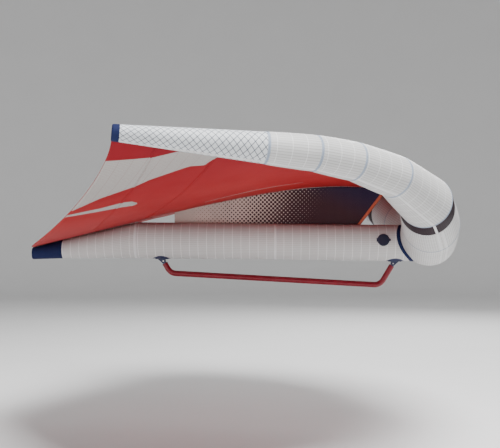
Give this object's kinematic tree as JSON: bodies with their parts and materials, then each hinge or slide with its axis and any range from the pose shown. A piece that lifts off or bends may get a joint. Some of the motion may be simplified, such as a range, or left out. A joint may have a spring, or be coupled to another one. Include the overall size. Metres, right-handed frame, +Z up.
{
  "type": "inflatable hand wing",
  "caption": "Hand-held inflatable wing: air tube along a curved front edge, cloth canopy, centre strut with an upright web, and a rigid bent boom handle on pinned feet.",
  "frame": {"origin": "middle of the boom's straight grip, on the tube's axis", "axes": "+X forward to the nose, +Y to the left tip, +Z up to the canopy"},
  "size_m": [2.1043, 2.9628, 0.6693],
  "materials": {
    "tube_sleeve": "satin ripstop weave",
    "printed_band": "printed satin weave",
    "tip_ply": "satin weave with dark crossed yarns",
    "navy_webbing": "matte webbing",
    "canopy_cloth": "satin ripstop weave",
    "web_cloth": "printed satin weave",
    "web_tape": "satin tape",
    "bladder_film": "clear film",
    "boom_red": "satin anodised",
    "moulded_navy": "moulded",
    "pad_rubber": "moulded",
    "stainless": "turned",
    "ring_steel": "polished",
    "valve_plastic": "moulded",
    "seal_rubber": "moulded",
    "port_plastic": "moulded"
  },
  "bodies": {
    "wing": {"leading_edge_middle_sleeve": "tube_sleeve", "leading_edge_inner_sleeve_right": "tube_sleeve", "leading_edge_inner_sleeve_left": "tube_sleeve", "leading_edge_shoulder_sleeve_right": "tube_sleeve", "leading_edge_shoulder_sleeve_left": "tube_sleeve", "leading_edge_outer_sleeve_1_right": "tube_sleeve", "leading_edge_outer_sleeve_1_left": "tube_sleeve", "leading_edge_outer_sleeve_2_right": "tube_sleeve", "leading_edge_outer_sleeve_2_left": "tube_sleeve", "leading_edge_outer_sleeve_3_right": "tube_sleeve", "leading_edge_outer_sleeve_3_left": "tube_sleeve", "leading_edge_band_right": "printed_band", "leading_edge_band_left": "printed_band", "leading_edge_tip_sleeve_right": "tip_ply", "leading_edge_tip_sleeve_left": "tip_ply", "leading_edge_tip_cap_right": "navy_webbing", "leading_edge_tip_cap_left": "navy_webbing", "strut_front_sleeve": "tube_sleeve", "strut_middle_sleeve": "tube_sleeve", "strut_rear_sleeve": "tube_sleeve", "strut_tail_cap": "navy_webbing", "junction_collar": "navy_webbing", "leading_edge_bladder": "bladder_film", "strut_bladder": "bladder_film", "canopy_right": "canopy_cloth", "canopy_left": "canopy_cloth", "trailing_edge_hem_right": "canopy_cloth", "trailing_edge_hem_left": "canopy_cloth", "canopy_web": "web_cloth", "web_front_tape": "web_tape", "boom_tube": "boom_red", "front_boom_plug": "moulded_navy", "rear_boom_plug": "moulded_navy", "front_foot_bracket": "moulded_navy", "rear_foot_bracket": "moulded_navy", "front_foot_pad": "pad_rubber", "rear_foot_pad": "pad_rubber", "valve_hinge_pin": "stainless", "valve_spring": "stainless", "valve_base": "valve_plastic", "air_port": "port_plastic", "air_port_nut": "port_plastic"},
    "valve_cap": {"valve_cap": "valve_plastic"},
    "valve_poppet": {"valve_poppet": "valve_plastic", "valve_seal": "seal_rubber"},
    "front_lock_pin": {"front_lock_pin": "stainless"},
    "front_pull_ring": {"front_pull_ring": "ring_steel"},
    "rear_lock_pin": {"rear_lock_pin": "stainless"},
    "rear_pull_ring": {"rear_pull_ring": "ring_steel"}
  },
  "joints": [
    {"name": "front_pin_pull", "type": "slide", "parent": "wing", "child": "front_lock_pin", "axis": [0, 1, 0], "range_m": [0, 0.03]},
    {"name": "front_ring_swing", "type": "hinge", "parent": "front_lock_pin", "child": "front_pull_ring", "pos_m": [0.58386, 0.01885, 0.07721], "axis": [1, 0, 0], "range_deg": [0, 100]},
    {"name": "rear_pin_pull", "type": "slide", "parent": "wing", "child": "rear_lock_pin", "axis": [0, 1, 0], "range_m": [0, 0.03]},
    {"name": "rear_ring_swing", "type": "hinge", "parent": "rear_lock_pin", "child": "rear_pull_ring", "pos_m": [-0.55461, 0.01885, 0.08945], "axis": [1, 0, 0], "range_deg": [0, 100]},
    {"name": "valve_cap_flip", "type": "hinge", "parent": "wing", "child": "valve_cap", "pos_m": [0.497, -0.09074, 0.19577], "axis": [0, -0.1714, -0.9852], "range_deg": [0, 150]},
    {"name": "valve_press", "type": "slide", "parent": "wing", "child": "valve_poppet", "axis": [0, 0.9852, -0.1714], "range_m": [0, 0.004], "stiffness_N_per_m": 600, "springref_m": -0.004, "deforming": ["valve_spring"]}
  ]
}
